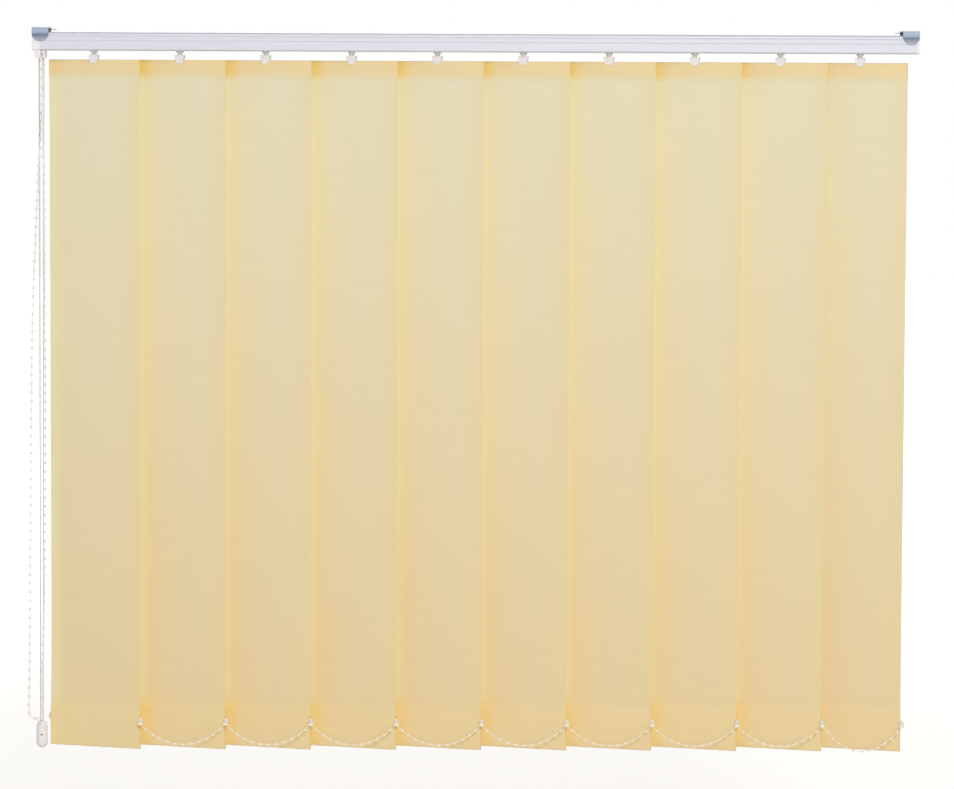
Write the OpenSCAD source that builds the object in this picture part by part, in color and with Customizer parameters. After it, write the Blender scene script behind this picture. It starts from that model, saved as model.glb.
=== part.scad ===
// Vertical blind: ten overlapping fabric vanes under an extruded head rail, hung from two ceiling clips.
// Millimetres. X runs along the rail, Y points at the window, Z is up.
// The origin is midway between the two ceiling screws, on the ceiling plane.

/* [Vanes] */
// Width of one fabric vane
vane_width = 127; // [110:1:130]
// Length of one fabric vane from fold to fold
vane_length = 904; // [600:1:1600]
// Distance between neighbouring stems when the blind is drawn across
vane_pitch = 112; // [100:1:116]
// Distance between the last two stems, at the stack end
stack_gap = 104; // [90:1:116]
// Angle between a closed vane and the rail
closed_angle = 18.5; // [17:0.5:24]
// Thickness of the woven fabric
fabric = 0.45; // [0.35:0.05:0.5]
// Height of the welded pocket round the hanger
top_pocket = 25; // [22:1:32]
// Height of the welded pocket round the weight
bottom_pocket = 57; // [50:1:70]

/* [Head rail] */
// Front to back depth of the rail
rail_depth = 40; // [40:0.5:44]
// Height of the rail
rail_height = 24; // [24:0.5:26]
// Wall of the extrusion
rail_wall = 1.4; // [1.2:0.1:1.6]
// Width of the slot that the stems hang through
slot_width = 12; // [11.5:0.5:13]
// Height of the ceiling above the rail
ceiling_gap = 6; // [5:0.5:9]
// Distance from the rail down to the top fold of the vanes
stem_drop = 11.5; // [11.5:0.5:14]

/* [Controls] */
// Diameter of the beads on the control chain
chain_bead = 4.2; // [3.6:0.1:4.4]
// Distance between two beads of the control chain
chain_pitch = 11.4; // [11.2:0.1:11.6]
// Diameter of the draw cord
cord_diameter = 1.8; // [1.4:0.1:2]
// Diameter of the weight on the draw cord
cord_weight_diameter = 15; // [12:0.5:15]
// Length of the weight on the draw cord
cord_weight_length = 36; // [30:1:50]

/* [Bottom chain] */
// Length of bottom chain between two vanes
link_length = 128; // [125:1:132]
// Diameter of the beads on the bottom chain
link_bead = 2.8; // [2.4:0.1:3]
// Number of beads between two vanes
link_beads = 11; // [9:1:11]

/* [Hidden] */
$fn = 48;
vane_count = 10;
thread_radius = 0.6;
joiner_radius = 1.5;
joiner_gap = 0.1;

// Places along the rail
left_margin = vane_width / 2 + 16;
right_margin = vane_width / 2 + 12;
stem_span = (vane_count - 2) * vane_pitch + stack_gap;
rail_half = (left_margin + stem_span + right_margin) / 2;
first_stem = left_margin - rail_half;
last_stem = first_stem + stem_span;
function stem_x(i) = i == vane_count ? last_stem : first_stem + (i - 1) * vane_pitch;

// Heights
rail_top = -ceiling_gap;
rail_bottom = rail_top - rail_height;
rail_middle = (rail_top + rail_bottom) / 2;
vane_top = rail_bottom - stem_drop;
vane_bottom = vane_top - vane_length;

// Ceiling clip
clip_steel = 1.2;
clip_radius = 11;
clip_height = 18;
clip_x = rail_half - clip_radius;
clip_gap = 0.15;
lip_outside = rail_depth / 2 + clip_gap + clip_steel;
screw_x = clip_x + 1.5;
screw_hole_radius = 2.5;
ridge_radius = 0.5;

// Rail section
corner = 2.5;
groove = 1;
upper_groove = rail_top - 5.2;
lower_groove = rail_top - 11.2;
inner_half = rail_depth / 2 - rail_wall;
floor_z = rail_bottom + rail_wall;
roof_z = rail_top - rail_wall;
track_rib = 1.2;
track_rib_top = floor_z + 2.1;

// End caps
control_cap_face = 10.5;
idle_cap_face = 3;
insert_length = 14;
idle_insert_length = 22;
insert_half = inner_half - 0.3;
insert_bottom = track_rib_top + 0.2;
insert_top = roof_z - 0.2;
rail_start = control_cap_face - rail_half;
rail_end = rail_half - idle_cap_face;
notch_length = 7;
guide_left = 3.5 - rail_half;
guide_right = rail_start + notch_length - 1;
guide_height = 9.5;
guide_bottom = rail_bottom - guide_height;
guide_half = inner_half - 0.6;

// Tilt rod and sprocket
rod_radius = 3;
rod_y = -8.5;
rod_z = rail_bottom + 10;
flute_count = 3;
flute_radius = 0.9;
sprocket_pockets = 4;
sprocket_pitch_radius = sprocket_pockets * chain_pitch / (2 * PI);
sprocket_radius = sprocket_pitch_radius + 0.7;
sprocket_width = 7;
sprocket_x = 12.5 - rail_half;
sprocket_stub_radius = 2.9;
sprocket_stub = 5;
sprocket_room = sprocket_pitch_radius + chain_bead / 2 + 0.7;
string_groove = 2.2;
string_groove_radius = 4;

// Draw cord, which lies in one upright plane behind the vanes' stems
cord_radius = cord_diameter / 2;
cord_y = rail_depth / 2 - 5.5;
pulley_radius = 4;
pulley_rim = 4.5;
pulley_width = 3.6;
pulley_bore = 1.25;
pulley_pin = 1.2;
upper_run = rail_bottom + 18;
lower_run = upper_run - 2 * pulley_radius;
upper_pulley = [10.5 - rail_half, upper_run - pulley_radius];
lower_pulley = [16.5 - rail_half, lower_run - pulley_radius];
return_pulley_place = [rail_half - 14.5, upper_run - pulley_radius];
pulley_room = 5.4;
cord_weight_x = 7.5 - rail_half;
cord_weight_rise = 32;
cord_weight_top = vane_bottom + cord_weight_rise;
cord_weight_bore = 18;
cord_turn_depth = 14;
cord_weight_turn = 1.6;
cord_hole = cord_radius + 0.6;
cord_sides = 8;

// Carriers
carrier_length = 20;
carrier_gap = 0.2;
base_half = 11.5;
base_bottom = track_rib_top + 0.3;
base_top = base_bottom + 4.2;
tower_half = 6;
tower_top = rail_bottom + 18;
foot_inside = slot_width / 2 + track_rib + 0.8;
neck_radius = slot_width / 2 - 1;
neck_bottom = rail_bottom - 2;
boss_radius = rod_radius + 1.8;
spacer_width = 7;
spacer_thickness = 0.3;
spacer_lane = 0.45;
spacer_seat = 0.05;
spacer_reach = vane_pitch + 6;
spacer_wall = 1.2;
function spacer_z(i) = tower_top + 0.1 + max(i - 2, 0) * spacer_lane;

// Hooks and hangers
stem_radius = 3.25;
wheel_radius = 4.4;
wheel_teeth = 12;
wheel_tooth = 1.1;
wheel_bottom = base_top + 0.5;
wheel_height = 4;
stem_bottom = vane_top + 6.5;
bridge_bottom = vane_top + 5;
claw_half = 6.25;
claw_inside = 1.6;
claw_plate = 1.8;
claw_bottom = vane_top - 4.5;
claw_tip_half = 3.6;
crossbar_radius = 1.5;
crossbar_z = vane_top + 1.5;
hanger_thickness = 1.6;
hanger_half = vane_width / 2 - 4.5;
hanger_bottom = vane_top - 18;
hanger_tab_half = 4.6;
hanger_slot_half = 7;
fold_clearance = 0.25;

// Vane section
top_half = hanger_thickness / 2 + 0.2;
weight_thickness = 3;
bottom_half = weight_thickness / 2 + 0.25;
top_weld = vane_top - top_pocket;
bottom_weld = vane_bottom + bottom_pocket;
weight_rise = 41;
weight_top = vane_bottom + weight_rise;
weight_half = vane_width / 2 - 5;

// Ears of the weight and the chain links that turn in them
ear_x = vane_width / 2 + 2;
ear_forward = 3.6;
ear_radius = 2.6;
ear_height = 2;
ear_z = vane_bottom + 37.5;
ear_hole = 1;
link_pin = 0.95;
link_head = 2.4;
link_head_height = 2.6;
link_gap = 0.3;
link_z = ear_z - ear_height / 2 - link_gap - link_head_height / 2;

// Route of the control chain below the guide: places right of the rail end, back from the stems and
// above the vanes' bottom fold, down the front strand and up the rear one
front_strand = [
    [13, -18, 840], [16, -25, 740], [17, -27, 560], [17, -27, 380], [15, -26, 200], [12, -26, 90]
];
chain_turn = [[11.5, -26, 48], [10, -26, 42], [7, -26, 39], [4, -26, 42], [2.5, -26, 48]];
rear_strand = [
    [1, -25, 90], [-3, -18, 200], [-3.5, -12, 380], [-1, -9, 560], [6, -5, 740], [11, -2, 840]
];
curve_steps = 6;

// Shared helpers

// Extrudes a section drawn in Y and Z from one place along the rail to another
module along_rail(from, to) {
    translate([from, 0, 0]) rotate([90, 0, 90]) linear_extrude(to - from) children();
}

// Extrudes an outline drawn in X and Z through a stretch of Y
module through_depth(from, to) {
    translate([0, to, 0]) rotate([90, 0, 0]) linear_extrude(to - from) children();
}

// A round bar along the rail
module bar_along_rail(from, to, radius) {
    translate([from, 0, 0]) rotate([0, 90, 0]) cylinder(r = radius, h = to - from);
}

// A rectangle between two corners
module box_section(low, high) {
    translate(low) square(high - low);
}

module rounded_section(width, height, radius) {
    square([width - 2 * radius, height], center = true);
    square([width, height - 2 * radius], center = true);
    for (y = [-1, 1], z = [-1, 1]) {
        translate([y * (width / 2 - radius), z * (height / 2 - radius)]) circle(radius);
    }
}

// Places a piece in the frame of one vane, whose local X runs along the vane to its near edge
module at_vane(i) {
    translate([stem_x(i), 0, 0]) rotate([0, 0, -closed_angle]) children();
}

// Stands its children on a point, with their Z axis turned to a direction
module turned_to(place, way) {
    flat = norm([way[0], way[1]]);
    translate(place) rotate([0, atan2(flat, way[2]), atan2(way[1], way[0])]) children();
}

// A round thread between two points, with its ends hidden inside the beads
module thread(from, to, radius) {
    turned_to(from, to - from) cylinder(r = radius, h = norm(to - from));
}

// A round bead, its poles and seam set across the way that the thread runs
module bead(place, way, radius) {
    turned_to(place, way) rotate([0, 90, 0]) rotate([0, 0, 90]) sphere(radius);
}

// Head rail and end caps

// Outside of the extrusion: a rounded box with two fine grooves along its front and back
module rail_outline() {
    difference() {
        translate([0, rail_middle]) rounded_section(rail_depth, rail_height, corner);
        for (side = [-1, 1], z = [upper_groove, lower_groove]) {
            translate([side * rail_depth / 2, z]) rotate(45) square(groove, center = true);
        }
    }
}

module rail_section() {
    difference() {
        rail_outline();
        translate([0, rail_middle])
            rounded_section(2 * inner_half, rail_height - 2 * rail_wall, corner - rail_wall / 2);
        box_section([-slot_width / 2, rail_bottom - 1], [slot_width / 2, rail_middle]);
    }
    for (side = [-1, 1]) {
        translate([side * (slot_width + track_rib) / 2, (rail_bottom + track_rib_top) / 2])
            square([track_rib, track_rib_top - rail_bottom], center = true);
    }
}

module headrail() {
    color("whitesmoke") difference() {
        along_rail(rail_start, rail_end) rail_section();
        along_rail(rail_start - 1, rail_start + notch_length)
            box_section([-inner_half, rail_bottom - 1], [inner_half, track_rib_top + 0.1]);
    }
}

// A pin across the end cap that a pulley turns on
module pulley_axle(place) {
    translate([place[0], 0, place[1]]) through_depth(cord_y - pulley_width / 2 - 1.5, insert_half)
        circle(pulley_pin);
}

module pulley_pocket(place) {
    translate([place[0], 0, place[1]])
        through_depth(cord_y - pulley_width / 2 - 0.4, cord_y + pulley_width / 2 + 0.4) circle(pulley_room);
}

// Housing at the chain end: a face with the rail's outline, a block inside the rail and a guide below it
module control_end_cap() {
    insert_end = rail_start + insert_length;
    color("white") {
        difference() {
            union() {
                along_rail(-rail_half, rail_start) rail_outline();
                along_rail(rail_start - 1, insert_end)
                    box_section([-insert_half, insert_bottom], [insert_half, insert_top]);
                along_rail(guide_left, guide_right)
                    box_section([-guide_half, guide_bottom], [guide_half, insert_bottom + 1]);
            }
            translate([0, rod_y, rod_z]) {
                bar_along_rail(sprocket_x - 4.5, sprocket_x + 4.5, sprocket_room);
                bar_along_rail(sprocket_x - 10, sprocket_x, sprocket_stub_radius + 0.06);
                bar_along_rail(sprocket_x, insert_end + 1, rod_radius + 0.08);
            }
            for (side = [-1, 1]) {
                translate([sprocket_x, rod_y + side * sprocket_pitch_radius, guide_bottom - 1])
                    cylinder(r = chain_bead / 2 + 0.6, h = rod_z - guide_bottom);
            }
            pulley_pocket(upper_pulley);
            pulley_pocket(lower_pulley);
            for (place = [upper_pulley, lower_pulley]) {
                translate([place[0] - pulley_radius, cord_y, guide_bottom - 1])
                    cylinder(r = cord_hole, h = place[1] - guide_bottom);
                translate([0, cord_y, place[1] + pulley_radius])
                    bar_along_rail(place[0], insert_end + 1, cord_hole);
            }
        }
        pulley_axle(upper_pulley);
        pulley_axle(lower_pulley);
    }
}

// Plain cap at the stack end, with the pulley that turns the cord back
module idle_end_cap() {
    insert_start = rail_end - idle_insert_length;
    color("white") {
        difference() {
            union() {
                along_rail(rail_end, rail_half) rail_outline();
                along_rail(insert_start, rail_end + 1)
                    box_section([-insert_half, insert_bottom], [insert_half, insert_top]);
            }
            translate([0, rod_y, rod_z]) bar_along_rail(insert_start - 1, rail_end - 2, rod_radius + 0.08);
            pulley_pocket(return_pulley_place);
            for (z = [upper_run, lower_run]) {
                translate([0, cord_y, z]) bar_along_rail(insert_start - 1, return_pulley_place[0], cord_hole);
            }
        }
        pulley_axle(return_pulley_place);
    }
}

// Ceiling clips

// Stamped steel clip at the right-hand end: a plate under the ceiling with a rounded lip front and back
module clip_shape() {
    difference() {
        translate([clip_x - clip_radius, -lip_outside, -clip_steel])
            cube([2 * clip_radius, 2 * lip_outside, clip_steel]);
        translate([screw_x, 0, -clip_steel - 1]) cylinder(r = screw_hole_radius, h = clip_steel + 2);
    }
    for (side = [-1, 1]) {
        lip_middle = side * (lip_outside - clip_steel / 2);
        through_depth(lip_middle - clip_steel / 2, lip_middle + clip_steel / 2) {
            box_section([clip_x - clip_radius, clip_radius - clip_height], [clip_x + clip_radius, 0]);
            intersection() {
                translate([clip_x, clip_radius - clip_height]) circle(clip_radius);
                box_section([clip_x - clip_radius, -clip_height], [clip_x + clip_radius, 0]);
            }
        }
        translate([0, side * (rail_depth / 2 + clip_gap), upper_groove])
            bar_along_rail(clip_x - clip_radius + 2, clip_x + clip_radius - 2, ridge_radius);
    }
}

// Leaf of spring steel under the plate that presses the clip on the rail
module spring_shape() {
    root = clip_x - clip_radius + 5;
    bend = clip_x - clip_radius;
    tip = bend - 8.5;
    leaf = 0.8;
    drop = clip_steel + leaf;
    through_depth(-4, 4) polygon([
        [root, -clip_steel], [bend, -clip_steel], [tip, -drop - 1], [tip, -drop - 1 - leaf],
        [bend, -drop], [root, -drop]
    ]);
}

module right_bracket() {
    color("lightsteelblue") clip_shape();
}

module left_bracket() {
    color("lightsteelblue") mirror([1, 0, 0]) clip_shape();
}

module right_spring() {
    color("dimgray") spring_shape();
}

module left_spring() {
    color("dimgray") mirror([1, 0, 0]) spring_shape();
}

// Tilt drive

// Fluted rod that every carrier slides along
module tilt_rod() {
    color("silver") translate([0, rod_y, rod_z])
        along_rail(sprocket_x - sprocket_width / 2 + 0.5, rail_end - 4)
            difference() {
                circle(rod_radius);
                for (k = [1:flute_count]) {
                    rotate(k * 360 / flute_count) translate([rod_radius + 0.3, 0]) circle(flute_radius);
                }
            }
}

// Wheel with a pocket for each bead, a stub to turn in the cap and a socket for the rod
module chain_sprocket() {
    half = sprocket_width / 2;
    color("white") translate([sprocket_x, rod_y, rod_z]) difference() {
        union() {
            bar_along_rail(-half, half, sprocket_radius);
            bar_along_rail(-half - sprocket_stub, -half, sprocket_stub_radius);
        }
        bar_along_rail(0.5 - half, half + 1, rod_radius + 0.05);
        rotate([0, 90, 0]) rotate_extrude()
            translate([string_groove_radius, -string_groove / 2]) square([20, string_groove]);
        for (k = [1:sprocket_pockets]) {
            rotate([k * 360 / sprocket_pockets, 0, 0]) translate([0, sprocket_pitch_radius, 0])
                sphere(chain_bead / 2 + 0.2);
        }
    }
}

// Control chain

// Smooth curve through a list of points
function curve_point(a, b, c, d, t) =
    0.5 * (2 * b + (c - a) * t + (2 * a - 5 * b + 4 * c - d) * t * t + (3 * b - a - 3 * c + d) * t * t * t);
function closed_curve(points) = let (n = len(points)) [
    for (i = [0:n - 1], k = [0:curve_steps - 1])
        curve_point(
            points[(i + n - 1) % n], points[i], points[(i + 1) % n], points[(i + 2) % n], k / curve_steps
        )
];
function running_length(points) = let (last = len(points) - 1) [
    for (i = 0, s = 0; i <= last; i = i + 1, s = s + norm(points[min(i, last)] - points[i - 1])) s
];

// Route of the chain: over the sprocket, down the front strand, round the turn and up the rear strand
function route_point(p) = [p[0] - rail_half, p[1], vane_bottom + p[2] * vane_length / 904];
function sprocket_point(angle) = [
    sprocket_x,
    rod_y - sprocket_pitch_radius * sin(angle),
    rod_z + sprocket_pitch_radius * cos(angle)
];
function strand_point(angle, z) = [sprocket_x, sprocket_point(angle)[1], z];
chain_route = concat(
    [for (angle = [0:30:90]) sprocket_point(angle)],
    [strand_point(90, rail_bottom), strand_point(90, guide_bottom)],
    [for (p = concat(front_strand, chain_turn, rear_strand)) route_point(p)],
    [strand_point(-90, guide_bottom), strand_point(-90, rail_bottom)],
    [for (angle = [-90:30:-30]) sprocket_point(angle)]
);

// Beads on a thread, closed to a loop by a joiner between two of them
module control_chain() {
    open_curve = closed_curve(chain_route);
    curve = concat(open_curve, [open_curve[0]]);
    lengths = running_length(curve);
    total = lengths[len(lengths) - 1];
    beads = round(total / chain_pitch);
    table = [for (axis = [0:2]) [for (i = [0:len(curve) - 1]) [lengths[i], curve[i][axis]]]];
    centres = [for (k = [0:beads - 1]) [for (axis = [0:2]) lookup(k * total / beads, table[axis])]];
    joint = round(beads / 4);
    color("white") for (k = [0:beads - 1]) {
        next = centres[(k + 1) % beads];
        bead(centres[k], next - centres[(k + beads - 1) % beads], chain_bead / 2);
        way = (next - centres[k]) / norm(next - centres[k]);
        if (k == joint) {
            inset = way * (chain_bead / 2 + joiner_gap);
            thread(centres[k] + inset, next - inset, joiner_radius);
        } else {
            thread(centres[k], next, thread_radius);
        }
    }
}

// Draw cord

// Arc of the cord's route round a centre in X and Z
function cord_arc(centre, radius, from, to, steps) = [
    for (k = [0:steps]) let (angle = from + (to - from) * k / steps)
        [centre[0] + radius * cos(angle), centre[1] + radius * sin(angle)]
];

// Closed route: round the return pulley, along the upper run, down to the weight, up and along the lower run
weight_turn_centre = [cord_weight_x, cord_weight_top - cord_turn_depth];
cord_route = concat(
    cord_arc(return_pulley_place, pulley_radius, -90, 90, 8),
    cord_arc(upper_pulley, pulley_radius, 90, 180, 4),
    [[upper_pulley[0] - pulley_radius, guide_bottom]],
    [[cord_weight_x - cord_weight_turn, cord_weight_top]],
    cord_arc(weight_turn_centre, cord_weight_turn, 180, 360, 6),
    [[cord_weight_x + cord_weight_turn, cord_weight_top]],
    [[lower_pulley[0] - pulley_radius, guide_bottom]],
    cord_arc(lower_pulley, pulley_radius, 180, 90, 4)
);

module draw_cord() {
    n = len(cord_route);
    rings = [
        for (i = [0:n - 1]) let (
            before = cord_route[(i + n - 1) % n],
            here = cord_route[i],
            after = cord_route[(i + 1) % n],
            way = (here - before) / norm(here - before) + (after - here) / norm(after - here),
            side = [-way[1], way[0]] / norm(way)
        ) [
            for (k = [0:cord_sides - 1]) let (angle = k * 360 / cord_sides, reach = cord_radius * cos(angle))
                [here[0] + side[0] * reach, cord_y + cord_radius * sin(angle), here[1] + side[1] * reach]
        ]
    ];
    color("white") polyhedron(
        points = [for (ring = rings, p = ring) p],
        faces = [
            for (i = [0:n - 1], k = [0:cord_sides - 1]) let (j = (i + 1) % n, l = (k + 1) % cord_sides)
                [i * cord_sides + k, j * cord_sides + k, j * cord_sides + l, i * cord_sides + l]
        ],
        convexity = 10
    );
}

// Turned weight with a dome below and a well for the cord above
module cord_weight() {
    radius = cord_weight_diameter / 2;
    color("white") translate([cord_weight_x, cord_y, cord_weight_top]) difference() {
        rotate_extrude() {
            box_section([0, radius - cord_weight_length], [radius - 1.5, 0]);
            box_section([0, radius - cord_weight_length], [radius, -5]);
            intersection() {
                translate([0, radius - cord_weight_length]) circle(radius);
                box_section([0, -cord_weight_length], [radius, 0]);
            }
        }
        translate([0, 0, -cord_weight_bore])
            cylinder(r = cord_weight_turn + cord_radius + 0.5, h = cord_weight_bore + 2);
        translate([0, -radius - 1, -cord_turn_depth - cord_weight_turn - cord_radius - 1.4])
            rotate([-90, 0, 0]) cylinder(r = 1.2, h = 2 * radius + 2);
    }
}

// Grooved pulley that turns on its pin in an end cap
module pulley(place) {
    half = pulley_width / 2;
    color("white") translate([place[0], cord_y, place[1]]) rotate([90, 0, 0]) rotate_extrude() difference() {
        box_section([pulley_bore, -half], [pulley_rim, half]);
        translate([pulley_radius, 0]) circle(cord_radius + 0.12);
        box_section([pulley_radius, -cord_radius - 0.12], [pulley_rim + 1, cord_radius + 0.12]);
    }
}

module upper_guide_pulley() {
    pulley(upper_pulley);
}

module lower_guide_pulley() {
    pulley(lower_pulley);
}

module return_pulley() {
    pulley(return_pulley_place);
}

// Carriers

// Section of the moulded carrier: feet on the track, a base, a gear tower and a boss for the rod
module carrier_section(i) {
    box_section([-base_half, base_bottom], [base_half, base_top]);
    for (side = [-1, 1]) {
        foot_middle = side * (foot_inside + base_half) / 2;
        translate([foot_middle, (floor_z + carrier_gap + base_top) / 2])
            square([base_half - foot_inside, base_top - floor_z - carrier_gap], center = true);
        translate([side * (spacer_width + 0.6 + spacer_wall) / 2, (tower_top + roof_z - 0.5) / 2])
            square([spacer_wall, roof_z - 0.5 - tower_top], center = true);
    }
    box_section([-tower_half, base_bottom], [tower_half, tower_top]);
    box_section([-(spacer_width + 0.6) / 2, tower_top - 1], [(spacer_width + 0.6) / 2, spacer_z(i)]);
    translate([rod_y, rod_z]) circle(boss_radius);
    box_section([rod_y - boss_radius, base_bottom], [0, rod_z]);
}

// Carrier with the neck that guides the stem, and the spacer that keeps the next carrier at its distance
module carrier(i) {
    half = carrier_length / 2;
    color("ivory") translate([stem_x(i), 0, 0]) {
        difference() {
            union() {
                along_rail(-half, half) carrier_section(i);
                translate([0, 0, neck_bottom]) cylinder(r = neck_radius, h = base_top - neck_bottom);
                if (i == 1) {
                    along_rail(-half + 4, half - 4)
                        box_section([base_half - 1, lower_run - 3], [cord_y + 2.6, lower_run + 3]);
                }
            }
            translate([0, rod_y, rod_z]) bar_along_rail(-half - 1, half + 1, rod_radius + 0.15);
            translate([0, 0, neck_bottom - 1])
                cylinder(r = stem_radius + 0.08, h = wheel_bottom + 1 - neck_bottom);
            translate([0, 0, wheel_bottom - 0.4])
                cylinder(r = wheel_radius + 0.3, h = wheel_height + 0.8);
            translate([0, cord_y, lower_run]) bar_along_rail(-half, half, cord_radius + 0.4);
        }
    }
    if (i > 1) {
        color("silver") translate([stem_x(i) - spacer_reach, -spacer_width / 2, spacer_z(i) + spacer_seat])
            cube([spacer_reach + half, spacer_width, spacer_thickness]);
    }
}

// Hooks with their hangers

module shield_outline(bottom) {
    polygon([
        [-claw_half, stem_bottom], [claw_half, stem_bottom], [claw_half, vane_top + 2],
        [claw_tip_half, bottom], [-claw_tip_half, bottom], [-claw_half, vane_top + 2]
    ]);
}

// Stem with its toothed wheel, and the claw whose crossbar carries the hanger
module hook_shape() {
    translate([0, 0, stem_bottom - 0.5]) cylinder(r = stem_radius, h = wheel_bottom + 1 - stem_bottom);
    translate([0, 0, wheel_bottom]) linear_extrude(wheel_height) {
        circle(wheel_radius - 0.8);
        for (k = [1:wheel_teeth]) {
            rotate(k * 360 / wheel_teeth) translate([wheel_radius / 2, 0])
                square([wheel_radius - 0.1, wheel_tooth], center = true);
        }
    }
    through_depth(-claw_inside - claw_plate, claw_inside + claw_plate)
        box_section([-claw_half, bridge_bottom], [claw_half, stem_bottom]);
    through_depth(-claw_inside - claw_plate, -claw_inside) shield_outline(claw_bottom);
    through_depth(claw_inside, claw_inside + claw_plate) shield_outline(claw_bottom + 3);
    translate([0, 0, crossbar_z]) through_depth(0.3 - claw_inside, claw_inside + 0.5) circle(crossbar_radius);
}

// Flat hanger in the top pocket, with the eye that hangs on the crossbar
module hanger_shape() {
    through_depth(-hanger_thickness / 2, hanger_thickness / 2) difference() {
        union() {
            box_section([-hanger_half, hanger_bottom], [hanger_half, vane_top - fabric - fold_clearance]);
            box_section([-hanger_tab_half, hanger_bottom], [hanger_tab_half, crossbar_z]);
            translate([0, crossbar_z - 0.2]) circle(crossbar_radius + 1.6);
        }
        translate([0, crossbar_z - 0.2]) circle(crossbar_radius + 0.3);
    }
}

module hook(i) {
    at_vane(i) {
        color("white") hook_shape();
        color("ghostwhite") hanger_shape();
    }
}

// Fabric vanes

// Section of the fabric: a single layer that opens into a pocket at each end
module vane_section() {
    half = fabric / 2;
    difference() {
        polygon([
            [-top_half - fabric, vane_top], [top_half + fabric, vane_top],
            [top_half + fabric, hanger_bottom - 1], [fabric, top_weld + 2], [half, top_weld],
            [half, bottom_weld], [fabric, bottom_weld - 2], [bottom_half + fabric, weight_top + 2],
            [bottom_half + fabric, vane_bottom], [-bottom_half - fabric, vane_bottom],
            [-bottom_half - fabric, weight_top + 2], [-fabric, bottom_weld - 2], [-half, bottom_weld],
            [-half, top_weld], [-fabric, top_weld + 2], [-top_half - fabric, hanger_bottom - 1]
        ]);
        polygon([
            [-top_half, vane_top - fabric], [top_half, vane_top - fabric],
            [top_half, hanger_bottom - 1], [0, top_weld + 3], [-top_half, hanger_bottom - 1]
        ]);
        polygon([
            [-bottom_half, vane_bottom + fabric], [bottom_half, vane_bottom + fabric],
            [bottom_half, weight_top + 2], [0, bottom_weld - 3], [-bottom_half, weight_top + 2]
        ]);
    }
}

module vane(i) {
    color("lightgoldenrodyellow") at_vane(i) difference() {
        along_rail(-vane_width / 2, vane_width / 2) vane_section();
        through_depth(-bottom_half - 1, bottom_half + 1)
            box_section([-hanger_slot_half, vane_top - fabric - 0.1], [hanger_slot_half, vane_top + 1]);
    }
}

// Weights

// Ear beside the pocket, bent forward, with the hole that a chain link turns in
module ear() {
    translate([0, 0, ear_z - ear_height / 2]) difference() {
        union() {
            translate([weight_half - 1, -weight_thickness / 2, 0])
                cube([ear_x - weight_half + 1 + ear_radius, weight_thickness, ear_height]);
            translate([ear_x - ear_radius, -ear_forward, 0]) cube([2 * ear_radius, ear_forward, ear_height]);
            translate([ear_x, -ear_forward, 0]) cylinder(r = ear_radius, h = ear_height);
        }
        translate([ear_x, -ear_forward, -1]) cylinder(r = ear_hole, h = ear_height + 2);
    }
}

module weight(i) {
    color("white") at_vane(i) {
        through_depth(-weight_thickness / 2, weight_thickness / 2)
            box_section([-weight_half, vane_bottom + fabric + fold_clearance], [weight_half, weight_top]);
        ear();
        rotate([0, 0, 180]) ear();
    }
}

// Bottom chains

// Shape of a hanging chain: the half-width over the sag constant, found by halving an interval
function hyperbolic_sine(x) = (exp(x) - exp(-x)) / 2;
function hyperbolic_cosine(x) = (exp(x) + exp(-x)) / 2;
function sag_ratio(slack, low, high, steps) = let (middle = (low + high) / 2)
    steps == 0 ? middle :
    hyperbolic_sine(middle) / middle < slack
        ? sag_ratio(slack, middle, high, steps - 1)
        : sag_ratio(slack, low, middle, steps - 1);
function inverse_sine(x) = ln(x + sqrt(x * x + 1));
function hanging_point(span, share) = let (
    ratio = sag_ratio(link_length / span, 0.01, 3, 30),
    constant = span / (2 * ratio),
    reach = constant * inverse_sine((share - 0.5) * link_length / constant)
) [span / 2 + reach, constant * (hyperbolic_cosine(reach / constant) - hyperbolic_cosine(ratio))];

// Pin with two heads that turns in the ear of a weight
module chain_link() {
    head_offset = ear_height / 2 + link_gap;
    translate([0, 0, ear_z - head_offset - 0.5]) cylinder(r = link_pin, h = 2 * head_offset + 1);
    for (side = [-1, 1]) {
        translate([0, 0, ear_z + side * (head_offset + link_head_height / 2)])
            cylinder(r = link_head, h = link_head_height, center = true);
    }
}

// Chain from vane to vane, hung from the ears on one side
module bottom_chain(side) {
    parts = link_beads + 1;
    ear_place = [
        side * (ear_x * cos(closed_angle) - ear_forward * sin(closed_angle)),
        -side * (ear_x * sin(closed_angle) + ear_forward * cos(closed_angle))
    ];
    color("white") {
        for (i = [1:vane_count]) {
            translate([stem_x(i) + ear_place[0], ear_place[1], 0]) chain_link();
        }
        for (i = [1:vane_count - 1]) {
            span = stem_x(i + 1) - stem_x(i);
            centres = [for (k = [0:parts]) let (p = hanging_point(span, k / parts)) [p[0], 0, p[1]]];
            translate([stem_x(i) + ear_place[0], ear_place[1], link_z]) {
                for (k = [1:link_beads]) {
                    bead(centres[k], centres[k + 1] - centres[k - 1], link_bead / 2);
                }
                for (k = [0:link_beads]) {
                    thread(centres[k], centres[k + 1], thread_radius);
                }
            }
        }
    }
}

module front_chain() {
    bottom_chain(1);
}

module rear_chain() {
    bottom_chain(-1);
}

headrail();
control_end_cap();
idle_end_cap();
tilt_rod();
chain_sprocket();
control_chain();
draw_cord();
cord_weight();
upper_guide_pulley();
lower_guide_pulley();
return_pulley();
left_bracket();
right_bracket();
left_spring();
right_spring();
front_chain();
rear_chain();
for (i = [1:vane_count]) {
    carrier(i);
    hook(i);
    vane(i);
    weight(i);
}
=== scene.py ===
# %% [markdown]
# # A vertical blind with ten fabric vanes
#
# A white aluminium rail is clipped to the ceiling. Ten strips of pale yellow cloth hang from carriers
# inside it. A bead chain at the left end turns the strips and a cord beside it draws them to the right.
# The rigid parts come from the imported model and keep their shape. Cloth, cord and chains are made here,
# because they bend and their looks lie in fine detail.

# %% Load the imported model
import math

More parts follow.
